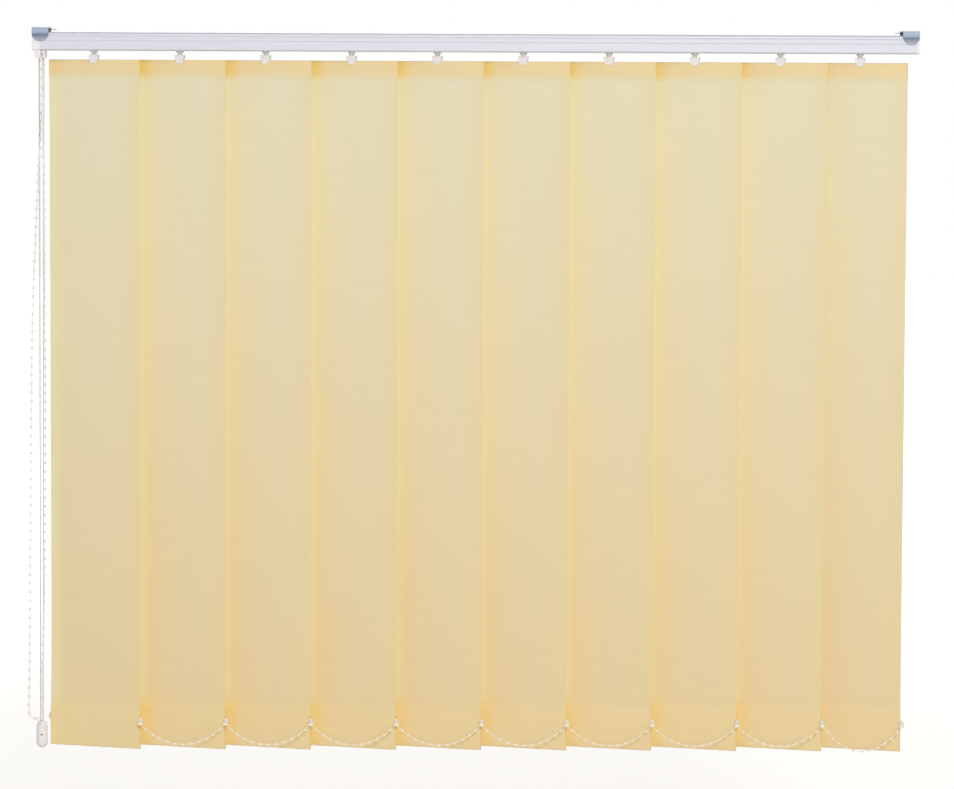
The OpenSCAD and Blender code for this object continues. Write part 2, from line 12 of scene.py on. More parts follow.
import bpy
import numpy as np
from mathutils import Matrix


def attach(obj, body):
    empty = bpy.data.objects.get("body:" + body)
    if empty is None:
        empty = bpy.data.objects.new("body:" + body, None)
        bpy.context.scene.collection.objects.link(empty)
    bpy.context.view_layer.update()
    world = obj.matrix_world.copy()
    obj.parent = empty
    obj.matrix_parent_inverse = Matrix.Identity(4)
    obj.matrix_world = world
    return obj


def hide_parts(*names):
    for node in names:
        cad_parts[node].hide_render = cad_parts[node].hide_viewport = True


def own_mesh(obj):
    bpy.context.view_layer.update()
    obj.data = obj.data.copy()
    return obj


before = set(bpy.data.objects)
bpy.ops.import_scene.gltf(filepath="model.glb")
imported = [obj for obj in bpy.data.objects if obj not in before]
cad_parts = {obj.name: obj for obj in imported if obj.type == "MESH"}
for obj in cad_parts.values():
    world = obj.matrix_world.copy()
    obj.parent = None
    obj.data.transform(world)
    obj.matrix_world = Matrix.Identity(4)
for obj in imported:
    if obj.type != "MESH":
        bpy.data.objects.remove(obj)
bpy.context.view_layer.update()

# %% [markdown]
# ## The camera
#
# The photograph was taken from about five and a half metres with a long lens, at about the rail's height
# and looking slightly down. The long distance keeps the vanes' edges almost parallel. The focal length in
# pixels was fitted to the edges of the vanes, so it is turned into millimetres on a 36 mm sensor.

# %% Camera
IMAGE_WIDTH = 954
FOCAL_PIXELS = 4230.3
SENSOR_WIDTH = 36.0
CAMERA_PLACE = (-0.0304, -5.5391, -0.0691)
TILT_DOWN, ROLL, YAW_RIGHT = (math.radians(a) for a in (4.2186, 0.2579, 0.3501))

camera = bpy.data.objects.new("camera", bpy.data.cameras.new("camera"))
bpy.context.scene.collection.objects.link(camera)
camera.data.sensor_width = SENSOR_WIDTH
camera.data.lens = FOCAL_PIXELS / IMAGE_WIDTH * SENSOR_WIDTH
turn = Matrix.Rotation(-YAW_RIGHT, 4, "Z") @ Matrix.Rotation(math.pi / 2 - TILT_DOWN, 4, "X")
camera.matrix_world = Matrix.Translation(CAMERA_PLACE) @ turn @ Matrix.Rotation(ROLL, 4, "Z")
bpy.context.scene.camera = camera
bpy.context.scene.view_settings.view_transform = "Standard"
print("lens in millimetres:", round(camera.data.lens, 1))

# %% [markdown]
# ## Helpers for the finishes
#
# Colours are written as they look on screen, in hexadecimal, and the renderer wants linear light, so one
# function converts them. A second one adds a node with its settings and links, so that a finish reads as
# a list, and a third joins the last nodes to the shader. Pattern sizes are real sizes in millimetres. A
# noise at scale 1 has spots about a metre across, so its scale is the number of spots in a metre.

# %% Colour, node and size helpers
# Sockets of a node that mixes two colours.
FACTOR, COLOUR_A, COLOUR_B, MIXED = 0, 6, 7, 2


def linear(hex_colour):
    parts = [int(hex_colour[i:i + 2], 16) / 255 for i in (1, 3, 5)]
    light = [c / 12.92 if c <= 0.04045 else ((c + 0.055) / 1.055) ** 2.4 for c in parts]
    return (*light, 1.0)


def add(tree, kind, inputs=None, **settings):
    made = tree.nodes.new(kind)
    for key, value in settings.items():
        setattr(made, key, value)
    for key, value in (inputs or {}).items():
        if isinstance(value, bpy.types.NodeSocket):
            tree.links.new(value, made.inputs[key])
        else:
            made.inputs[key].default_value = value
    return made


def finish_named(name):
    made = bpy.data.materials.new(name)
    made.use_nodes = True
    return made, made.node_tree, made.node_tree.nodes["Principled BSDF"]


def connect(tree, shader, sources):
    for socket, source in sources.items():
        tree.links.new(source, shader.inputs[socket])


def per_metre(size):
    """How many spots of that many millimetres lie in a metre."""
    return 1000.0 / size


print("white in linear light:", linear("#FFFFFF"))

# %% [markdown]
# ## White moulded plastic
#
# Stems, claws, caps and the cord's weight are moulded in white acetal, the carriers in nylon. The eye
# sees a soft gloss and a faint cloudiness. A plain white would look like paper, so noise of a few
# millimetres shifts the colour and the roughness a little, and a finer one gives the skin of the mould.

# %% White moulded plastic
CLOUD_SIZE, SKIN_SIZE = 6.25, 0.4
GLOSS_SPREAD = 0.06
PLASTIC_IOR = 1.48


def moulded_plastic(name, light, dark, roughness):
    made, tree, shader = finish_named(name)
    place = add(tree, "ShaderNodeTexCoord").outputs["Object"]
    cloud = add(tree, "ShaderNodeTexNoise", {"Vector": place, "Scale": per_metre(CLOUD_SIZE), "Detail": 3.0})
    skin = add(tree, "ShaderNodeTexNoise", {"Vector": place, "Scale": per_metre(SKIN_SIZE), "Detail": 2.0})
    colour = add(
        tree,
        "ShaderNodeMix",
        {FACTOR: cloud.outputs["Fac"], COLOUR_A: linear(dark), COLOUR_B: linear(light)},
        data_type="RGBA",
    )
    low, high = roughness - GLOSS_SPREAD, roughness + GLOSS_SPREAD
    gloss = add(tree, "ShaderNodeMapRange", {"Value": cloud.outputs["Fac"], "To Min": low, "To Max": high})
    bump = add(tree, "ShaderNodeBump", {"Height": skin.outputs["Fac"], "Strength": 0.12, "Distance": 0.0002})
    sources = {
        "Base Color": colour.outputs[MIXED],
        "Roughness": gloss.outputs["Result"],
        "Normal": bump.outputs["Normal"],
    }
    connect(tree, shader, sources)
    shader.inputs["IOR"].default_value = PLASTIC_IOR
    return made


white_plastic = moulded_plastic("white moulded acetal", "#F7F5F3", "#ECEAEA", 0.38)
carrier_plastic = moulded_plastic("white moulded nylon", "#EFEDEA", "#E2E0DE", 0.45)
bead_plastic = moulded_plastic("white moulded bead plastic", "#FAF8F5", "#F0EDEA", 0.4)
link_plastic = moulded_plastic("cream moulded link plastic", "#FFF9EA", "#F6ECD6", 0.4)
print("plastics:", white_plastic.name, carrier_plastic.name, bead_plastic.name, link_plastic.name)

# %% [markdown]
# ## Powder coated aluminium for the rail
#
# The rail is extruded and then coated white. The coat is a cool white with a slight orange peel about a
# millimetre across, and the extruding leaves very faint streaks along the length. A thin grey line of
# painted shade runs along the upper and the lower corner, where the rounded corner shades the coat. It is
# painted by height, so that it stays on the rail from every side.

# %% Powder coated aluminium
STREAK_LENGTH, PEEL_SIZE = 333.33, 1.1111
COAT_IOR = 1.5

rail_enamel, tree, shader = finish_named("powder coated extruded aluminium")
place = add(tree, "ShaderNodeTexCoord").outputs["Object"]
streak_scale = (per_metre(STREAK_LENGTH), per_metre(PEEL_SIZE), per_metre(PEEL_SIZE))
lengthwise = add(tree, "ShaderNodeMapping", {"Vector": place, "Scale": streak_scale}).outputs["Vector"]
streaks = add(tree, "ShaderNodeTexNoise", {"Vector": lengthwise, "Scale": 1.0, "Detail": 2.0})
peel = add(tree, "ShaderNodeTexNoise", {"Vector": place, "Scale": per_metre(PEEL_SIZE), "Detail": 1.0})
coat = add(
    tree,
    "ShaderNodeMix",
    {FACTOR: streaks.outputs["Fac"], COLOUR_A: linear("#D8DAE4"), COLOUR_B: linear("#E2E4EC")},
    data_type="RGBA",
)
gloss = add(tree, "ShaderNodeMapRange", {"Value": peel.outputs["Fac"], "To Min": 0.28, "To Max": 0.4})
bump = add(tree, "ShaderNodeBump", {"Height": peel.outputs["Fac"], "Strength": 0.06, "Distance": 0.0003})
shader.inputs["IOR"].default_value = COAT_IOR
print("rail finish:", rail_enamel.name)

# %% Painted shade along the rail's corners
# Heights in metres between which a painted shade line along a corner grows, and how dark it gets.
LOWER_SHADE_LINE, LOWER_SHADE = (-0.0282, -0.0297), 0.45
UPPER_SHADE_LINE, UPPER_SHADE = (-0.0084, -0.0068), 0.42
# Distances from the rail's middle in metres between which its outer face starts.
OUTER_FACE = (0.0185, 0.0195)

spot = add(tree, "ShaderNodeSeparateXYZ", {"Vector": place})
lines = []
for (start, end), darkness in ((LOWER_SHADE_LINE, LOWER_SHADE), (UPPER_SHADE_LINE, UPPER_SHADE)):
    line = add(
        tree,
        "ShaderNodeMapRange",
        {"Value": spot.outputs["Z"], "From Min": start, "From Max": end, "To Max": darkness},
    )
    lines.append(line.outputs["Result"])
either = add(tree, "ShaderNodeMath", dict(enumerate(lines)), operation="ADD").outputs["Value"]
from_middle = add(tree, "ShaderNodeMath", {0: spot.outputs["Y"]}, operation="ABSOLUTE").outputs["Value"]
outer = add(
    tree,
    "ShaderNodeMapRange",
    {"Value": from_middle, "From Min": OUTER_FACE[0], "From Max": OUTER_FACE[1]},
).outputs["Result"]
in_shade = add(tree, "ShaderNodeMath", {0: either, 1: outer}, operation="MULTIPLY").outputs["Value"]
left_light = add(tree, "ShaderNodeMath", {0: 1.0, 1: in_shade}, operation="SUBTRACT").outputs["Value"]
# The painted shade lines darken the coat along the upper and the lower corner.
shade_lined_coat = add(
    tree,
    "ShaderNodeMix",
    {FACTOR: 1.0, COLOUR_A: coat.outputs[MIXED], COLOUR_B: left_light},
    data_type="RGBA",
    blend_type="MULTIPLY",
)
sources = {
    "Base Color": shade_lined_coat.outputs[MIXED],
    "Roughness": gloss.outputs["Result"],
    "Normal": bump.outputs["Normal"],
}
connect(tree, shader, sources)
print("corner lines at", LOWER_SHADE_LINE[1], "and", UPPER_SHADE_LINE[1], "metres")

# %% [markdown]
# ## Bare metals
#
# The ceiling clips are stamped from zinc plated sheet, blue grey with a broken gloss. Their springs are
# dark tempered steel. The tilt rod inside the rail is drawn aluminium. All three are the same recipe, a
# metal whose roughness changes from spot to spot. On the clips' rounded lips a ramp by height paints shade
# in a band below the bend, where the bend catches no light, and leaves the lip paler and a little mauve
# towards the lower edge.

# %% Recipe for a bare metal
SPANGLE, GRAIN = 2.8571, 0.55556


def bare_metal(name, light, dark, smooth, rough, shade_bands=None):
    made, tree, shader = finish_named(name)
    place = add(tree, "ShaderNodeTexCoord").outputs["Object"]
    spangle = add(tree, "ShaderNodeTexNoise", {"Vector": place, "Scale": per_metre(SPANGLE), "Detail": 4.0})
    grain = add(tree, "ShaderNodeTexNoise", {"Vector": place, "Scale": per_metre(GRAIN), "Detail": 2.0})
    colour = add(
        tree,
        "ShaderNodeMix",
        {FACTOR: spangle.outputs["Fac"], COLOUR_A: linear(dark), COLOUR_B: linear(light)},
        data_type="RGBA",
    )
    # Painted shade: a ramp by height darkens a band below the bend of a clip's lip.
    if shade_bands:
        bottom, top = shade_bands[0][0], shade_bands[-1][0]
        height = add(tree, "ShaderNodeSeparateXYZ", {"Vector": place}).outputs["Z"]
        reach = add(tree, "ShaderNodeMapRange", {"Value": height, "From Min": bottom, "From Max": top})
        ramp = add(tree, "ShaderNodeValToRGB", {"Fac": reach.outputs["Result"]})
        stops = ramp.color_ramp.elements
        for k, (level, tint) in enumerate(shade_bands):
            share = (level - bottom) / (top - bottom)
            stop = stops[k] if k < 2 else stops.new(share)
            stop.position, stop.color = share, linear(tint)
        colour = add(
            tree,
            "ShaderNodeMix",
            {FACTOR: 1.0, COLOUR_A: colour.outputs[MIXED], COLOUR_B: ramp.outputs["Color"]},
            data_type="RGBA",
            blend_type="MULTIPLY",
        )
    gloss = add(
        tree, "ShaderNodeMapRange", {"Value": spangle.outputs["Fac"], "To Min": smooth, "To Max": rough}
    )
    bump = add(tree, "ShaderNodeBump", {"Height": grain.outputs["Fac"], "Strength": 0.1, "Distance": 0.0002})
    sources = {
        "Base Color": colour.outputs[MIXED],
        "Roughness": gloss.outputs["Result"],
        "Normal": bump.outputs["Normal"],
    }
    connect(tree, shader, sources)
    shader.inputs["Metallic"].default_value = 1.0
    return made


print("spangles of", SPANGLE, "and a grain of", GRAIN, "millimetres")

# %% Bare metals
# Height in metres and tint, from the lip's lower edge up to its bend. The darkest tints are painted shade
# below the bend.
CLIP_SHADE_BANDS = [
    (-0.019, "#FFF4F2"),
    (-0.0155, "#FFF0EE"),
    (-0.012, "#D7D4D7"),
    (-0.0094, "#ABB4BC"),
    (-0.0076, "#E6EAEC"),
    (-0.005, "#FFFFFF"),
]
clip_steel = bare_metal("zinc plated stamped steel", "#9CA8B6", "#85919E", 0.55, 0.7, CLIP_SHADE_BANDS)
spring_steel = bare_metal("tempered spring steel", "#5C6068", "#3E4249", 0.3, 0.45)
rod_aluminium = bare_metal("drawn aluminium", "#CFD1D4", "#B4B7BB", 0.25, 0.4)
print("metals:", clip_steel.name, spring_steel.name, rod_aluminium.name)

# %% [markdown]
# ## Shapes of the cords
#
# A chain or a cord is a line with something on it, so each one starts as a list of points. A curve object
# with a bevel could make the tube but not the beads, so these helpers turn points into a mesh: a tube
# along the line, or beads threaded on it. Lengths are in millimetres until a piece is made.

# %% Mesh helpers
MM = 0.001


def mesh_piece(name, points, faces, finish, uv=None):
    mesh = bpy.data.meshes.new(name)
    mesh.from_pydata([tuple(p) for p in points], [], [tuple(f) for f in faces])
    mesh.polygons.foreach_set("use_smooth", [True] * len(mesh.polygons))
    if uv is not None:
        layer = mesh.uv_layers.new(name="cloth")
        corners = np.zeros(len(mesh.loops), np.int32)
        mesh.loops.foreach_get("vertex_index", corners)
        layer.data.foreach_set("uv", np.asarray(uv, np.float32)[corners].ravel())
    mesh.materials.append(finish)
    made = bpy.data.objects.new(name, mesh)
    bpy.context.scene.collection.objects.link(made)
    return made


def side_axes(way):
    way = way / np.linalg.norm(way)
    helper = np.array([0.0, 1.0, 0.0]) if abs(way[1]) < 0.9 else np.array([1.0, 0.0, 0.0])
    first = np.cross(way, helper)
    first /= np.linalg.norm(first)
    return first, np.cross(way, first), way


print("helpers ready: mesh, axes")

# %% Tube along a line


def tube_mesh(line, radius, sides):
    """Points and faces of a tube along a line, closed at both ends."""
    line = np.asarray(line, float)
    ways = np.gradient(line, axis=0)
    angles = np.arange(sides) * 2 * math.pi / sides
    points = []
    for centre, way in zip(line, ways):
        first, second, _ = side_axes(way)
        points += [centre + radius * (math.cos(a) * first + math.sin(a) * second) for a in angles]
    faces = [list(range(sides))[::-1], [(len(line) - 1) * sides + k for k in range(sides)]]
    for i in range(len(line) - 1):
        for k in range(sides):
            a, b = i * sides + k, i * sides + (k + 1) % sides
            faces.append([a, b, b + sides, a + sides])
    return points, faces


print("helper ready: tube")

# %% Bead on a thread


def bead_mesh(centre, way, radius, around=12, rings=7, stretch=1.0):
    """Points and faces of a bead whose poles lie on its thread, round or stretched along it."""
    first, second, ahead = side_axes(way)
    ahead = stretch * ahead
    points = [centre - radius * ahead]
    for r in range(1, rings):
        polar = math.pi * r / rings
        for k in range(around):
            a = 2 * math.pi * k / around
            out = math.sin(polar) * (math.cos(a) * first + math.sin(a) * second)
            points.append(centre + radius * (out - math.cos(polar) * ahead))
    points.append(centre + radius * ahead)
    last = len(points) - 1
    faces = [[0, 1 + (k + 1) % around, 1 + k] for k in range(around)]
    for r in range(rings - 2):
        for k in range(around):
            a, b = 1 + r * around + k, 1 + r * around + (k + 1) % around
            faces.append([a, b, b + around, a + around])
    top = 1 + (rings - 2) * around
    faces += [[top + k, top + (k + 1) % around, last] for k in range(around)]
    return points, faces


print("helper ready: bead")

# %% Piece of a chain


def joined(parts):
    """One list of points and one of faces out of several."""
    points, faces = [], []
    for some_points, some_faces in parts:
        faces += [[i + len(points) for i in f] for f in some_faces]
        points += list(some_points)
    return points, faces


def chain_piece(name, parts, finish, body):
    """A piece of a chain that rides on a body, out of parts in millimetres."""
    points, faces = joined(parts)
    made = mesh_piece(name, np.array(points) * MM, faces, finish)
    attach(made, body)
    return made


print("helpers ready: joined, chain piece")

# %% [markdown]
# ## The control chain
#
# The loop of beads hangs from a sprocket inside the left end cap. Simulating it would give a loop that
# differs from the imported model's, so its route is a smooth curve through nearly the same points. Only the
# lower turn is a little wider. The beads are moulded on a thread at an even pitch.

# %% Route of the control chain
RAIL_END, VANE_BOTTOM = -577.5, -945.5
ROD_Y, ROD_Z, SPROCKET_X, SPROCKET_RADIUS = -8.5, -20.0, -565.0, 7.257
RAIL_BOTTOM, GUIDE_BOTTOM = -30.0, -39.5
FRONT_STRAND = [(13, -18, 840), (16, -25, 740), (17, -27, 560), (17, -27, 380), (15, -26, 200), (12, -26, 90)]
CHAIN_TURN = [(11.5, -26, 49), (9, -26, 43), (3.1, -26, 40.5), (-2.8, -26, 43), (-5.3, -26, 49)]
REAR_STRAND = [(-5, -25, 90), (-4.5, -18, 200), (-3.5, -12, 380), (-1, -9, 560), (6, -5, 740), (11, -2, 840)]


def on_sprocket(degrees):
    a = math.radians(degrees)
    return (SPROCKET_X, ROD_Y - SPROCKET_RADIUS * math.sin(a), ROD_Z + SPROCKET_RADIUS * math.cos(a))


def beside_sprocket(side, height):
    return (SPROCKET_X, ROD_Y - side * SPROCKET_RADIUS, height)


hand_points = [(RAIL_END + x, y, VANE_BOTTOM + z) for x, y, z in FRONT_STRAND + CHAIN_TURN + REAR_STRAND]
route = [on_sprocket(a) for a in (0, 30, 60, 90)]
route += [beside_sprocket(1, RAIL_BOTTOM), beside_sprocket(1, GUIDE_BOTTOM)]
route += hand_points
route += [beside_sprocket(-1, GUIDE_BOTTOM), beside_sprocket(-1, RAIL_BOTTOM)]
route = np.array(route + [on_sprocket(a) for a in (-90, -60, -30)], float)
print("control chain's route has", len(route), "points")

# %% Curve and bead places of the control chain
CHAIN_PITCH, CURVE_STEPS = 11.4, 12

# A cubic through each pair of points, with slopes weighed by the distances so that close points make no loop.
curve = []
for i in range(len(route)):
    a, b, c, d = (route[(i + k) % len(route)] for k in (-1, 0, 1, 2))
    before, here, after = (math.sqrt(np.linalg.norm(q - p)) for p, q in ((a, b), (b, c), (c, d)))
    leave = ((c - b) / here * before + (b - a) / before * here) / (before + here)
    arrive = ((d - c) / after * here + (c - b) / here * after) / (here + after)
    for t in np.arange(CURVE_STEPS) / CURVE_STEPS:
        ends = (2 * t**3 - 3 * t * t + 1) * b + (3 * t * t - 2 * t**3) * c
        curve.append(ends + here * ((t**3 - 2 * t * t + t) * leave + (t**3 - t * t) * arrive))
curve = np.array(curve + [curve[0]])
runs = np.concatenate([[0], np.cumsum(np.linalg.norm(np.diff(curve, axis=0), axis=1))])
bead_count = round(runs[-1] / CHAIN_PITCH)
stations = np.arange(bead_count) * runs[-1] / bead_count
centres = np.stack([np.interp(stations, runs, curve[:, k]) for k in range(3)], 1)

free = [k for k in range(bead_count) if centres[k][2] < RAIL_BOTTOM]
# The run inside the cap starts at the last free bead and ends at the first one.
hidden = [*range(free[-1], bead_count), *range(free[0] + 1)]
between = [p for p, run in zip(curve, runs) if stations[free[0]] < run < stations[free[-1]]]
free_line = np.array([centres[free[0]], *between, centres[free[-1]]])
print("control chain:", bead_count, "beads,", len(free), "of them below the rail")

# %% Control chain
CHAIN_BEAD, THREAD_RADIUS, THREAD_SIDES = 4.2, 0.6, 8

ways = np.gradient(centres[free], axis=0)
free_beads = [bead_mesh(b, w, CHAIN_BEAD / 2) for b, w in zip(centres[free], ways)]
parts = [tube_mesh(free_line, THREAD_RADIUS, THREAD_SIDES), *free_beads]
control_chain = chain_piece("control_chain_loop", parts, bead_plastic, "headrail")
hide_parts("control_chain")
# Inside the cap the thread stays on its round, and the beads in the sprocket's pockets turn with it.
hidden_thread = tube_mesh(centres[hidden], THREAD_RADIUS, THREAD_SIDES)
chain_piece("control_chain_thread", [hidden_thread], bead_plastic, "headrail")
ways = np.gradient(centres[hidden], axis=0)
pocketed = [bead_mesh(centres[k], w, CHAIN_BEAD / 2) for k, w in zip(hidden[1:-1], ways[1:-1])]
chain_piece("control_chain_on_sprocket", pocketed, bead_plastic, "tilt_rod")

# %% [markdown]
# ## The draw cord
#
# A thin braided polyester cord runs along the rail in two runs. At the left end both strands drop to a
# weight that keeps them taut, and are tied in a knot inside it. The braid shows as fine diagonal ridges.
# Modelled strands would be too fine to see, so a wave draws them, and the tube carries coordinates
# measured around and along it.

# %% Braided polyester
# A wave texture at scale 1 has its ridges this many metres apart.
WAVE_PERIOD = 0.314
BRAID_SPACING, BRAID_SLANT = 0.52333, math.radians(35)

cord_fibre, tree, shader = finish_named("braided polyester cord")
cord_map = add(tree, "ShaderNodeUVMap", uv_map="cloth").outputs["UV"]
slant = {"Vector": cord_map, "Rotation": (0, 0, BRAID_SLANT)}
slanted = add(tree, "ShaderNodeMapping", slant).outputs["Vector"]
braid_scale = WAVE_PERIOD * per_metre(BRAID_SPACING)
ridges = add(tree, "ShaderNodeTexWave", {"Vector": slanted, "Scale": braid_scale, "Distortion": 0.5})
colour = add(
    tree,
    "ShaderNodeMix",
    {FACTOR: ridges.outputs["Fac"], COLOUR_A: linear("#DEDBD8"), COLOUR_B: linear("#F2F0EC")},
    data_type="RGBA",
)
bump = add(tree, "ShaderNodeBump", {"Height": ridges.outputs["Fac"], "Strength": 0.4, "Distance": 0.0002})
connect(tree, shader, {"Base Color": colour.outputs[MIXED], "Normal": bump.outputs["Normal"]})
shader.inputs["Roughness"].default_value = 0.7
print("cord finish:", cord_fibre.name)

# %% Draw cord's helpers and knot
CORD_DIAMETER, CORD_SIDES, CORD_Y = 1.8, 10, 14.5
WEIGHT_X, WEIGHT_TOP, STRAND_SIDE = -570.0, -913.5, 1.6
KNOT_DEPTH, KNOT_RADIUS = 14.0, 2.3
SIDEWAYS = np.array([1.0, 0.0, 0.0])


def arc(centre, radius, start, end, steps):
    angles = np.radians(np.linspace(start, end, steps + 1))
    return [(centre[0] + radius * math.cos(a), centre[1] + radius * math.sin(a)) for a in angles]


def cord_piece(name, flat_line):
    """A round cord along points of X and Z, with its line and its length in metres."""
    line = np.array([(x, CORD_Y, z) for x, z in flat_line], float) * MM
    points, faces = tube_mesh(line, CORD_DIAMETER / 2 * MM, CORD_SIDES)
    run = np.concatenate([[0], np.cumsum(np.linalg.norm(np.diff(line, axis=0), axis=1))])
    around = math.pi * CORD_DIAMETER * MM / CORD_SIDES
    uv = [(k * around, s) for s in run for k in range(CORD_SIDES)]
    made = mesh_piece(name, points, faces, cord_fibre, uv)
    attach(made, "headrail")
    return made, line, float(run[-1])


knot_z = WEIGHT_TOP - KNOT_DEPTH
points, faces = bead_mesh(np.array([WEIGHT_X, CORD_Y, knot_z]), SIDEWAYS, KNOT_RADIUS)
points = np.array(points) * MM
knot = mesh_piece("draw_cord_knot", points, faces, cord_fibre, points[:, [0, 2]])
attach(knot, "headrail")
print("knot at the height in millimetres", knot_z)

# %% Draw cord
UPPER_PULLEY, LOWER_PULLEY, RETURN_PULLEY = (-567.0, -16.0), (-561.0, -24.0), (563.0, -16.0)
PULLEY_RADIUS, DROP_POINTS = 4.0, 9

starts = {
    "draw_cord_left_strand": (UPPER_PULLEY[0] - PULLEY_RADIUS, UPPER_PULLEY[1], -STRAND_SIDE),
    "draw_cord_right_strand": (LOWER_PULLEY[0] - PULLEY_RADIUS, LOWER_PULLEY[1], STRAND_SIDE),
}
for name, (x, z, side) in starts.items():
    drop = np.linspace(0, 1, DROP_POINTS)[:, None]
    fall = np.array([x, GUIDE_BOTTOM]) * (1 - drop) + np.array([WEIGHT_X + side, WEIGHT_TOP]) * drop
    strand, strand_line, strand_length = cord_piece(name, [(x, z), *fall.tolist(), (WEIGHT_X + side, knot_z)])
    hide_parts("draw_cord")
    print(name, "hanging length in metres", round(strand_length, 3))

in_rail = arc(LOWER_PULLEY, PULLEY_RADIUS, 178, 90, 6) + arc(RETURN_PULLEY, PULLEY_RADIUS, -90, 90, 10)
in_rail += arc(UPPER_PULLEY, PULLEY_RADIUS, 90, 178, 6)
_, _, rail_length = cord_piece("draw_cord_in_rail", in_rail)
print("draw cord in the rail, length in metres", round(rail_length, 3))

# %% [markdown]
# ## The bottom chains
#
# Small oval beads on a thread join the vanes at their lower corners, in front and behind. Between two
# vanes the chain hangs in a catenary, the curve that its own weight gives it. That has a formula, so it
# needs no simulation. A link with two heads turns in an ear of each vane's weight, so each link rides with
# its vane. A short arm below the link reaches out from the cloth and ends in an oval knob. The chain
# hangs from these, so it stays clear when the vanes turn over.

# %% Helpers for the bottom chains


def turned(x, y, degrees):
    a = math.radians(degrees)
    return x * math.cos(a) - y * math.sin(a), x * math.sin(a) + y * math.cos(a)


def catenary(span, length, parts):
    """Points of a chain of that length hung between two ends at one height, at equal steps along it."""
    low, high = 0.01, 3.0
    for _ in range(40):
        middle = (low + high) / 2
        low, high = (middle, high) if math.sinh(middle) / middle < length / span else (low, middle)
    scale = span / (2 * low)
    found = []
    for share in np.linspace(0, 1, parts + 1):
        reach = scale * math.asinh((share - 0.5) * length / scale)
        found.append((span / 2 + reach, scale * (math.cosh(reach / scale) - math.cosh(low))))
    return found


def lathe(profile, centre, around=20):
    """A turned shape out of a list of radius and height."""
    x, y, z = centre
    points, faces = [], []
    for radius, height in profile:
        for k in range(around):
            a = 2 * math.pi * k / around
            points.append((x + radius * math.cos(a), y + radius * math.sin(a), z + height))
    for i in range(len(profile) - 1):
        for k in range(around):
            a, b = i * around + k, i * around + (k + 1) % around
            faces.append([a, b, b + around, a + around])
    faces += [list(range(around))[::-1], [(len(profile) - 1) * around + k for k in range(around)]]
    return points, faces


print("helpers ready: turned, catenary, lathe")

# %% Sizes of the bottom chains
VANE_COUNT, FIRST_STEM, VANE_PITCH, LAST_PITCH = 10, -498.0, 112.0, 104.0
STEMS = [FIRST_STEM + VANE_PITCH * i for i in range(VANE_COUNT - 1)]
STEMS.append(STEMS[-1] + LAST_PITCH)
CLOSED_ANGLE = 18.5
EAR_X, EAR_FORWARD, EAR_Z, LINK_Z = 65.5, 3.6, -908.0, -910.6
LINK_LENGTH, LINK_BEAD, LINK_BEADS, LINK_THREAD, OVAL = 128.0, 3.1, 11, 0.38, 1.55
# The stems stand over 1000 mm when the vanes are spread and over 252 mm when they are drawn aside.
ARM_REACH, ARM_RADIUS, ARM_SIDES = 7.4, 1.1, 12
KNOB_RADIUS, KNOB_OVAL, KNOB_SIDES, KNOB_RINGS = 2.2, 1.7, 20, 12
# A link is a pin between two rounded heads. Its upper half, as radius and height above the ear's middle.
LINK_HALF = [(0.95, 1.3), (2.1, 1.4), (2.4, 1.9), (2.4, 3.2), (2.3, 3.6), (1.9, 3.9)]
LINK_PROFILE = [(radius, -height) for radius, height in reversed(LINK_HALF)] + LINK_HALF


def bottom_line(ear_x, chain_y):
    """The line of a whole bottom chain, from the first vane's ear to the last one's."""
    line = []
    for left, right in zip(STEMS[:-1], STEMS[1:]):
        span = catenary(right - left, LINK_LENGTH, LINK_BEADS + 1)
        # A span ends where the next one starts, so only the last one keeps its end.
        shown = span if right == STEMS[-1] else span[:-1]
        line += [(left + ear_x + x, chain_y, LINK_Z + z) for x, z in shown]
    return np.array(line)


# %% Bottom chains
for side, node in ((1, "front_chain"), (-1, "rear_chain")):
    ear_x, ear_y = turned(side * EAR_X, -side * EAR_FORWARD, -CLOSED_ANGLE)
    chain_y = ear_y - side * ARM_REACH
    line = bottom_line(ear_x, chain_y)
    ways = np.gradient(line, axis=0)
    beaded = [k for k in range(len(line)) if k % (LINK_BEADS + 1)]
    parts = [tube_mesh(line, LINK_THREAD, THREAD_SIDES)]
    parts += [bead_mesh(line[k], ways[k], LINK_BEAD / 2, stretch=OVAL) for k in beaded]
    chain = chain_piece(node + "_beads", parts, link_plastic, node)
    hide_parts(node)
    parts = []
    for stem in STEMS:
        pin = np.array([stem + ear_x, ear_y, LINK_Z])
        tip = np.array([stem + ear_x, chain_y, LINK_Z])
        parts.append(tube_mesh([pin, (pin + tip) / 2, tip], ARM_RADIUS, ARM_SIDES))
        parts.append(bead_mesh(tip, SIDEWAYS, KNOB_RADIUS, KNOB_SIDES, KNOB_RINGS, KNOB_OVAL))
    arms = chain_piece(node + "_arms", parts, link_plastic, node)
    for number, stem in enumerate(STEMS, 1):
        turned_link = lathe(LINK_PROFILE, (stem + ear_x, ear_y, EAR_Z))
        chain_piece(f"{node}_link_{number}", [turned_link], link_plastic, f"vane_{number}")
    for piece in (chain, arms):
        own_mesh(piece)

# %% [markdown]
# ## The cloth's colour
#
# The vanes are stiffened woven polyester, pale yellow and slightly see-through. One layer looks cool and
# light. The room's light is cooler at the ceiling and warmer near the floor, and the thin cloth takes that
# up, so two tones are mixed by height. Towards both edges, where light bounces between two vanes, it looks
# deeper. Each vane carries a map in metres, across and along, so that the patterns keep their real size.

# %% Tones of the cloth
VANE_TOP, TOP_WELD, BOTTOM_WELD = -41.5, -66.5, -888.5
HALF_WIDTH = 63.5
EDGE_START, EDGE_SHARE = 30.0, 0.32

